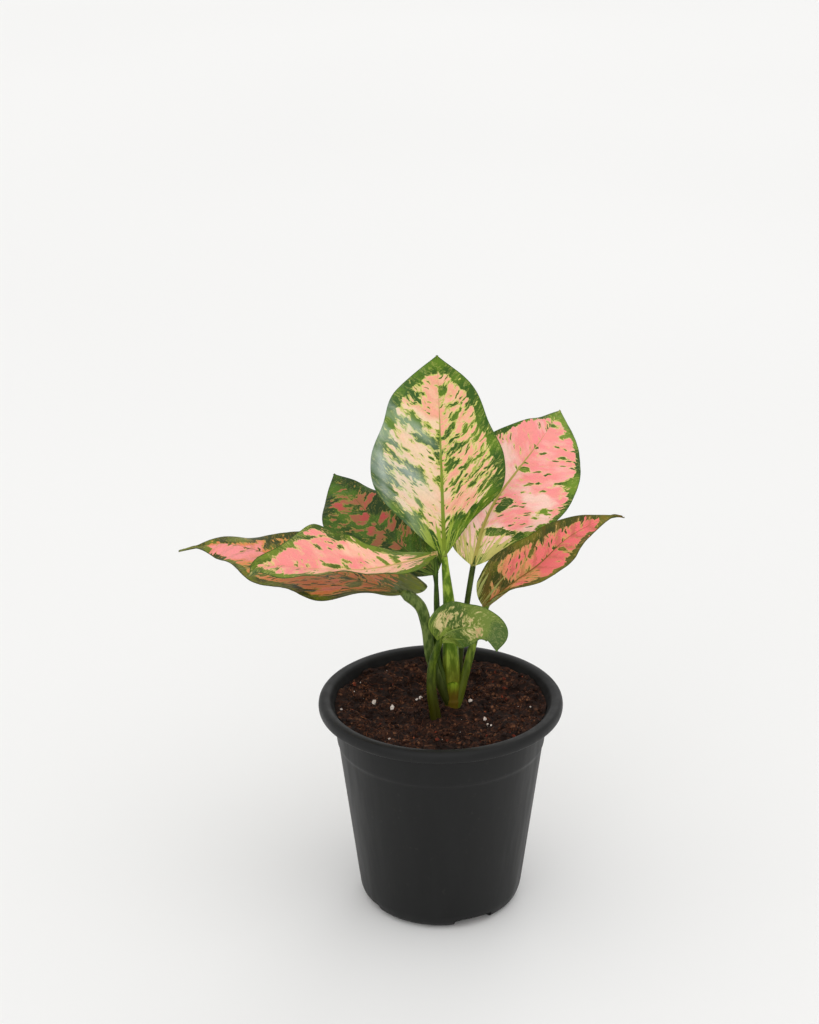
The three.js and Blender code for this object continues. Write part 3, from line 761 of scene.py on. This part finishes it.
def pot_material():
    """Black moulded plastic: fine grain, faint upright flow marks, a little dust, and painted shade on the
    wall inside the lip.
    """
    material, w, shader = principled("pot_plastic", 0.28)
    place = w.object_place()
    flow = w.grain(place, (150, 150, 5), 3, 0.6)
    grain = w.grain(place, 1500)
    dust = w.grain(place, (260, 260, 180), 4, 0.7)
    colour = w.mix(w.step(flow, 0.35, 0.7), linear((8, 9, 9)), linear((15, 16, 16)))
    colour = w.mix(w.step(dust, 0.6, 0.78, 0, 0.2), colour, linear((62, 60, 56)))
    # painted shade: the wall inside the lip is coloured near-black and made rougher, standing in for the
    # shade that falls there
    x, y, z = w.split(place)
    radius = w.node("VectorMath", [w.spot(x, y, 0)], operation="LENGTH").outputs["Value"]
    painted_shade = w.times(w.step(radius, 0.0583, 0.06, 1, 0), w.calc("GREATER_THAN", z, 0.113))
    colour = w.mix(painted_shade, colour, linear((6, 5, 4)))
    roughness = w.line(painted_shade, 0.35, w.step(flow, 0.3, 0.7, 0.42, 0.54))
    height = w.line(grain, 0.25, w.times(flow, 0.8))
    surface(w, shader, colour, roughness, height, 0.25, 0.3 * MM)
    return material


def loose_material(name, dark, light, speck, scale):
    """Loose stuff of one colour family: lumps, single paler bits, darker clods and a rough face."""
    material, w, shader = principled(name, 0.15)
    place = w.object_place()
    lumps = w.grain(place, scale, 4, 0.65)
    bits = w.split(w.cells(place, scale * 1.5, "Color"), "Color")[0]
    clods = w.grain(place, 130, 3, 0.6)
    colour = w.mix(w.step(lumps, 0.35, 0.68), linear(dark), linear(light))
    colour = w.mix(w.step(bits, 0.86, 0.9, 0, 0.6), colour, linear(speck))
    colour = w.mix(w.step(clods, 0.4, 0.6, 0.8, 0), colour, linear(dark))
    surface(w, shader, colour, w.step(lumps, 0.3, 0.7, 0.8, 0.98), lumps, 0.8, 0.8 * MM)
    return material

# ---- Pot ----


def softened(outline, reach):
    """The same outline with each corner cut off over a short reach."""
    soft = [outline[0]]
    for before, corner, after in zip(outline, outline[1:], outline[2:]):
        a, b, c = Vector(before), Vector(corner), Vector(after)
        for other in (a, c):
            away = other - b
            soft.append(list(b + away.normalized() * min(reach, 0.3 * away.length)))
    soft.append(outline[-1])
    return soft


def make_pot():
    outline = [[0, 0], *POT_OUTSIDE, *POT_INSIDE, [0, POT_FLOOR]]
    for reach in CORNER_REACH:
        outline = softened(outline, reach)
    pot = turned("pot_shell", POT_SIDES, outline)
    inner, outer = DRAIN["inner"], DRAIN["outer"]
    middle = (inner + outer) / 2 * MM
    wide = 2 * outer * tan(radians(DRAIN["span"] / 2)) * MM
    for k in range(DRAIN["count"]):
        angle = radians(DRAIN["first"] + k * 360 / DRAIN["count"])
        spot = (middle * cos(angle), middle * sin(angle), 0)
        bpy.ops.mesh.primitive_cube_add(size=1, location=spot, rotation=(0, 0, angle))
        notch = bpy.context.object
        notch.scale = ((outer - inner) * MM, wide, 2 * DRAIN["height"] * MM)
        bpy.ops.object.transform_apply(location=True, rotation=True, scale=True)
        apply_modifier(notch, "BEVEL", width=DRAIN["rounding"] * MM, segments=3)
        apply_modifier(pot, "BOOLEAN", object=notch, operation="DIFFERENCE", solver="EXACT")
        bpy.data.objects.remove(notch)
    finish(pot, "pot", [pot_material()], smooth=28)


# ---- Potting mix ----


def soil_height(x, y):
    """Height of the mix: slow swells, clods, and a slight heap round the plant."""
    swell = sum(h * sin(a * x + b * y + c) for a, b, c, h in SOIL_RIPPLES)
    clod_height, span = SOIL_CLODS
    clods = clod_height * noise.fractal((x / span, y / span, 3.0), 0.8, 2.1, 5)
    heap = sum(h * exp(-((x - a) ** 2 + (y - b) ** 2) / wide) for h, a, b, wide in SOIL_HEAPS)
    rise, near, far = SOIL_BANK
    bank = rise * eased(near, far, hypot(x, y))
    return SOIL_TOP - 0.4 + 0.6 * swell + clods + heap + bank


def open_soil(x, y):
    """True away from the wall, the cane and the front stalk."""
    clear = all(hypot(x - a, y - b) > reach for a, b, reach in SOIL_CLEAR)
    return clear and hypot(x, y) < SOIL_EDGE - WALL_CLEAR


def rough_ball(seed, uneven):
    """A small angular lump: a coarse ball with its corners pushed about."""
    bpy.ops.mesh.primitive_ico_sphere_add(subdivisions=1, radius=1)
    ball = bpy.context.object
    draw = random.Random(seed)
    shape = np.array([list(v.co * draw.uniform(1 - uneven, 1 + uneven)) for v in ball.data.vertices])
    faces = [list(p.vertices) for p in ball.data.polygons]
    bpy.data.objects.remove(ball)
    return shape, faces


def dress_mix(piece, material, smooth=0):
    finish(piece, "potting_mix", [material], smooth)


def scattered(name, ball, spots, material):
    """One piece with a turned and scaled copy of a rough ball at every spot.

    Each spot is (place, turn in three angles, size in three directions)."""
    shape, faces = rough_ball(*ball)
    points, polygons = [], []
    for place, turn, size in spots:
        first = len(points)
        placed = (shape * np.array(size)) @ np.array(Euler(turn).to_matrix()).T + np.array(place)
        points.extend((placed * MM).tolist())
        polygons.extend([[first + i for i in face] for face in faces])
    dress_mix(from_points(name, points, polygons), material)


def soil_spots(draw, count, smallest, largest, flat=0.75, sunk=0.25):
    """Random spots on the open mix; small lumps are the more common."""
    spots = []
    while len(spots) < count:
        x, y = draw.uniform(-54, 54), draw.uniform(-54, 54)
        if not open_soil(x, y):
            continue
        size = smallest + (largest - smallest) * draw.random() ** 3.2
        turn = [draw.uniform(0, tau) for _ in range(3)]
        place = (x, y, soil_height(x, y) + size * (flat * 0.5 - sunk))
        wide = [size * draw.uniform(0.6, 1.15), size * draw.uniform(0.6, 1.15), size * flat]
        spots.append((place, turn, wide))
    return spots


def known_spots(rows, raised, turn, shape):
    """Spots at known places; raised and shape are shares of each lump's size."""
    return [((x, y, soil_height(x, y) + raised * size), turn(x, y), [size * part for part in shape])
            for x, y, size in rows]


def make_soil():
    outline = [[0, SOIL_SIDE[0][1]], *SOIL_SIDE]
    outline += [[SOIL_EDGE * (1 - k / SOIL_RINGS), SOIL_TOP] for k in range(SOIL_RINGS + 1)]

    def lifted(point, height):
        if height == SOIL_TOP:
            point.z = soil_height(point.x / MM, point.y / MM) * MM
        return point

    bed = turned("soil_bed", SOIL_SIDES, outline, lifted)
    dress_mix(bed, loose_material("potting_mix", (20, 11, 8), (70, 42, 30), (118, 78, 54), 420), 60)

    draw = random.Random(7)
    brown = loose_material("soil_crumbs", (23, 13, 10), (82, 50, 35), (134, 90, 62), 600)
    scattered("soil_crumbs_1", (11, 0.3), soil_spots(draw, 900, 0.5, 1.5), brown)
    scattered("soil_crumbs_2", (12, 0.3), soil_spots(draw, 520, 0.7, 2.6), brown)
    grains = known_spots(PERLITE, 0.45, lambda x, y: (x, y, 1), (1, 0.85, 0.8))
    grains += soil_spots(draw, 14, 0.3, 0.7, 0.8, 0.1)
    white = loose_material("perlite", (206, 192, 180), (250, 242, 236), (176, 140, 120), 900)
    scattered("perlite", (31, 0.22), grains, white)
    chips = known_spots(BARK, 0.4, lambda x, y: (0.4 * x, 0.3 * y, x), (1.4, 0.7, 0.45))
    chips += soil_spots(draw, 26, 0.6, 1.9, 0.35, 0)
    rust = loose_material("bark_chips", (92, 38, 26), (156, 74, 48), (186, 112, 72), 700)
    scattered("bark_chips", (41, 0.25), chips, rust)
    make_fibres(draw)


def make_fibres(draw):
    """Loose coir fibres, each a thin bent strand with three sides."""
    points, faces = [], []
    made = 0
    while made < FIBRES:
        x, y = draw.uniform(-50, 50), draw.uniform(-50, 50)
        heading, bend = draw.uniform(0, tau), draw.uniform(-0.5, 0.5)
        step, thick = draw.uniform(0.7, 2.2), draw.uniform(0.09, 0.2)
        path = []
        for _ in range(FIBRE_STEPS + 1):
            path.append((x, y))
            x += step * cos(heading)
            y += step * sin(heading)
            heading += bend
        if not all(open_soil(*spot) for spot in path):
            continue
        first = len(points)
        for k, (px, py) in enumerate(path):
            radius = thick * (0.25 if k in (0, FIBRE_STEPS) else 1)
            lift = soil_height(px, py) + 0.35 + 0.9 * sin(pi * k / FIBRE_STEPS) * thick * 4
            for side in range(3):
                angle = tau * side / 3
                aside = radius * cos(angle)
                points.append([at * MM for at in (px + aside, py + aside, lift + radius * sin(angle))])
        for k in range(3 * FIBRE_STEPS):
            a = first + k
            b = a - 2 if k % 3 == 2 else a + 1
            faces.append([a, b, b + 3, a + 3])
        last = first + 3 * FIBRE_STEPS
        faces += [[first, first + 2, first + 1], [last, last + 1, last + 2]]
        made += 1
    fibres = from_points("coir_fibres", points, faces)
    weld(fibres, 1e-7)
    dress_mix(fibres, loose_material("coir_fibres", (70, 38, 26), (128, 78, 50), (160, 110, 70), 500))


# ---- Cane and stalks ----


def make_cane():
    heights, *sections = zip(*CANE)

    def skin(share, angle, wide):
        z = heights[0] + (heights[-1] - heights[0]) * share
        radius, x, y = (float(np.interp(z, heights, section)) for section in sections)
        radius += 0.12 * sin(3 * angle + 0.2 * z) + 0.12 * exp(-((z - CANE_RING) / 0.8) ** 2)
        radius *= wide
        return Vector((x + radius * cos(angle), y + radius * sin(angle), z))

    cane = tube("cane_stem", 36, CANE_STEPS, skin)
    finish(cane, "cane", [stalk_material("cane_skin", 9, CANE_COLOURS, 0.119, 0.011)])


def make_stalk(name, leaf):
    """A stalk whose foot tapers into what carries it and whose top runs on under the midrib."""
    blade_line, _, blade_length = smooth_line(leaf["rib"])
    foot_point, *others = (Vector(point) for point in leaf["stalk"])
    below = foot_point + (foot_point - others[0]).normalized() * STALK_ROOT
    down = Vector(leaf["face"][0]).normalized() * 0.5
    under = [blade_line(reach / blade_length) - down for reach in (2.5, STALK_END)]
    line, direction, length = smooth_line([below, foot_point, *others[:-1], *under])
    groove = radians(GROOVES[name])

    def skin(s, angle, wide):
        along = direction(s)
        out = Vector((1, 0, 0)).cross(along).normalized()
        side = along.cross(out).normalized()
        share = min(1, max(0, (s * length - STALK_ROOT) / (length - STALK_ROOT - STALK_END)))
        radius = float(np.interp(share, (0, 0.5, 1), leaf["thick"]))
        radius *= 0.8 + 0.2 * eased(0, STALK_ROOT * 1.3, s * length)
        radius *= 1 - 0.62 * eased(length - 6.5, length, s * length)
        off = remainder(angle - groove, tau)
        # a groove along the stalk, deeper between the two edges of the sheath low down
        sheath = 1 - eased(0.2, 0.5, share)
        radius *= 1 - (0.16 + 0.2 * sheath) * exp(-(off / 0.34) ** 2) + 0.02 * sin(9 * angle)
        radius *= 1 + 0.12 * sheath * exp(-((abs(off) - 0.62) / 0.2) ** 2)
        radius *= wide
        return line(s) + out * radius * cos(angle) + side * radius * sin(angle)

    stalk = tube(f"stalk_{name}_skin", 44, STALK_STEPS, skin)
    seed = sum(ord(letter) for letter in name) * 0.37
    foot_height = 0.117 if name == "front" else 0.119
    material = stalk_material(f"stalk_{name}_skin", seed, STALK_COLOURS[name], foot_height)
    finish(stalk, f"stalk_{name}", [material])


# ---- Leaf blades ----


def half_breadth(stations, s):
    """A smooth curve through the half-breadths at even stations."""
    count = len(stations)
    knots = [-stations[0], 0, *stations, 0, -stations[-1]]
    at = s * (count + 1)
    k = min(int(at), count)
    t = at - k
    a, b, c, d = knots[k:k + 4]
    curve = (c - a) * t + (2 * a - 5 * b + 4 * c - d) * t ** 2 + (3 * b - a - 3 * c + d) * t ** 3
    return max(0, b + 0.5 * curve)


def side_breadth(leaf, side, s, length):
    """The half-breadth of one side (0 left, 1 right), drawn-out point included."""
    drip = leaf.get("drip", 0) / length
    point = DRIP_HALF * min(1, (1 - s) / drip) if drip else 0
    return max(point, half_breadth(leaf["half"][side], min(1, s / (1 - drip))))


def vein_beat(along, aside, s):
    """How far a spot lies from the nearest side vein, from 0 on it to 1 between two; centimetres in."""
    slant = VEIN_SLANT + (VEIN_SLANT_FAR - VEIN_SLANT) * eased(0, VEIN_SLANT_REACH, s)
    lane = along - aside * slant - VEIN_BEND * aside ** 2
    return 2 * abs(lane / VEIN_GAP % 1 - 0.5)


def painted(name, leaf, length, share, across):
    """What the marks add up to at one spot; across in millimetres, negative to the left."""
    total = Vector((0, 0, 0))
    for at, aside, long, wide, lean, *adds in LEAF_MARKS[name]:
        x = across - aside / 100 * side_breadth(leaf, aside >= 0, at / 100, length)
        y = (share - at / 100) * length
        turn = radians(lean)
        reach = (x * cos(turn) + y * sin(turn)) / long
        off = (y * cos(turn) - x * sin(turn)) / wide
        total += Vector([*adds, 0, 0][:3]) / 100 * exp(-reach ** 2 - off ** 2)
    return total


def make_blade(name, leaf):
    line, direction, length = smooth_line(leaf["rib"])
    faces = [Vector(v) for v in leaf["face"]]
    seed = LEAF_NUMBERS["Seed"][list(LEAVES).index(name)]

    def lay(u, s):
        """One spot of the blade: its point, its place from -1 to 1 across, the half-breadth there."""
        v = 2 * u - 1
        v *= 0.5 + 0.5 * abs(v)
        side = int(v >= 0)
        q = abs(v)
        breadth = 0 if s in (0, 1) else side_breadth(leaf, side, s, length)
        near = min(1, breadth / POINTED)
        along = direction(s)
        right = along.cross(faces[0].lerp(faces[1], s)).normalized()
        up = right.cross(along)
        inner, outer = (
            radians(leaf[key][0][side] * (1 - s) + leaf[key][1][side] * s) for key in ("fold", "edge"))
        turn = outer - inner if abs(outer - inner) > 1e-3 else 1e-3
        tilt = inner + turn * q
        across = breadth * (sin(tilt) - sin(inner)) / turn
        rise = breadth * (cos(inner) - cos(tilt)) / turn
        height, count, start = (pair[side] for pair in leaf["wave"])
        rise += height * q * q * near * sin(tau * (count * s + start))
        # relief finer than the plain form: small edge waves, swells between veins, a sunk midrib
        fine = RIPPLE * q ** 3 * near * sin(tau * (RIPPLES * s + 0.37 * seed + 0.4 * side))
        beat = vein_beat(s * length / 10, q * breadth / 10, s)
        swell = SWELL * (beat ** 0.7 - 0.5) * near * eased(0.02, 0.2, q) * (1 - 0.6 * q)
        drift = DRIFT * near * noise.noise((s * length / DRIFT_SPAN, v * breadth / DRIFT_SPAN, seed))
        sunk = -RIB_FURROW * (1 - 0.6 * s) * exp(-((q * breadth) / RIB_FURROW_HALF) ** 2) * near
        back = leaf["lobe"][side] * q * q * (1 - s) ** LOBE_FADE * near
        outward = 2 * side - 1
        lean = 0 if q == 0 else tilt
        normal = up * cos(lean) - right * outward * sin(lean)
        point = line(s) + right * outward * across + up * rise - along * back
        point += normal * (BLADE_LIFT + fine + swell + drift + sunk)
        return point, v, breadth

    def place(u, t):
        return lay(u, t)[0] * MM

    def marks(u, t):
        _, v, breadth = lay(u, t)
        ahead, behind = (
            side_breadth(leaf, v >= 0, at, length) for at in (min(1, t + 0.01), max(0, t - 0.01)))
        slope = (ahead - behind) / (0.02 * length)
        rim = (1 - abs(v)) * breadth / sqrt(1 + slope ** 2)
        return {
            "blade_place": (t * length / 10, v * breadth / 10, rim / 10),
            "blade_share": (t, v, 0),
            "blade_paint": painted(name, leaf, length, t, v * breadth),
        }

    blade = shaped_grid(f"leaf_{name}_blade", BLADE_COLUMNS, BLADE_ROWS, place, marks)
    # thickness: thin at the margin, thickest along the midrib near the stalk
    places, shares = (blade.data.attributes[key].data for key in ("blade_place", "blade_share"))
    stout = []
    for at, part in zip(places, shares):
        s, v, _ = part.vector
        body = BLADE_BODY + (BLADE_EDGE - BLADE_BODY) * eased(0.5, 1, abs(v))
        keel = (RIB_KEEL * (1 - s) + RIB_KEEL_TIP) * exp(-(at.vector[1] * 10 / RIB_KEEL_HALF) ** 2)
        stout.append(min(1, (body + keel) / THICKEST))
    group = blade.vertex_groups.new(name="thickness")
    for index, share in enumerate(stout):
        group.add([index], share, "REPLACE")
    for _ in range(2):
        blade.data.materials.append(None)
    apply_modifier(blade, "SOLIDIFY", thickness=THICKEST * MM, offset=-1, vertex_group="thickness",
                   material_offset=1, material_offset_rim=0)
    sides = [p.material_index for p in blade.data.polygons]
    skins = [leaf_material(f"blade_{name}{end}", name, bool(end)) for end in ("", "_underside")]
    finish(blade, f"leaf_{name}", skins)
    blade.data.polygons.foreach_set("material_index", sides)


# ---- Assembly ----

LAMP_AIM = Vector((0, 0, 0.16))
# broad far-off lamps, so that the floor is lit evenly: where each stands, its breadth, its strength
LAMPS = {
    "key_light": ((0.7, -1, 1.8), 80, 0.5),
    "fill_light": ((-1.5, -0.8, 1.1), 70, 0.2),
    "back_light": ((0.35, 1.4, 1.5), 25, 0.2),
    "front_light": ((-0.3, -1.7, 0.7), 60, 0.45),
}


def stand_for_picture():
    """A pale floor and soft studio light."""
    bpy.ops.mesh.primitive_plane_add(size=14, location=(0, 3, -0.0004))
    floor = bpy.context.object
    floor.name = "floor"
    material, w, shader = principled("floor", 0.1)
    tint = w.grain(w.object_place(), 1.2, 1)
    colour = w.mix(tint, (0.86, 0.86, 0.855, 1), (0.9, 0.9, 0.895, 1))
    w.fill(shader.inputs, {"Base Color": colour, "Roughness": 0.9})
    floor.data.materials.append(material)

    world = bpy.data.worlds.new("studio")
    world.use_nodes = True
    sky = world.node_tree.nodes["Background"]
    sky.inputs["Color"].default_value = (1, 0.995, 0.985, 1)
    sky.inputs["Strength"].default_value = 0.81
    bpy.context.scene.world = world
    for name, (place, breadth, strength) in LAMPS.items():
        data = bpy.data.lights.new(name, "SUN")
        data.angle = radians(breadth)
        data.energy = strength
        lamp = linked(name, data)
        lamp.location = place
        lamp.rotation_euler = (LAMP_AIM - Vector(place)).to_track_quat("-Z", "Y").to_euler()
    bpy.context.scene.view_settings.view_transform = "Standard"


stand_for_picture()
make_pot()
make_soil()
make_cane()
for leaf_name, leaf_row in LEAVES.items():
    make_stalk(leaf_name, leaf_row)
    make_blade(leaf_name, leaf_row)
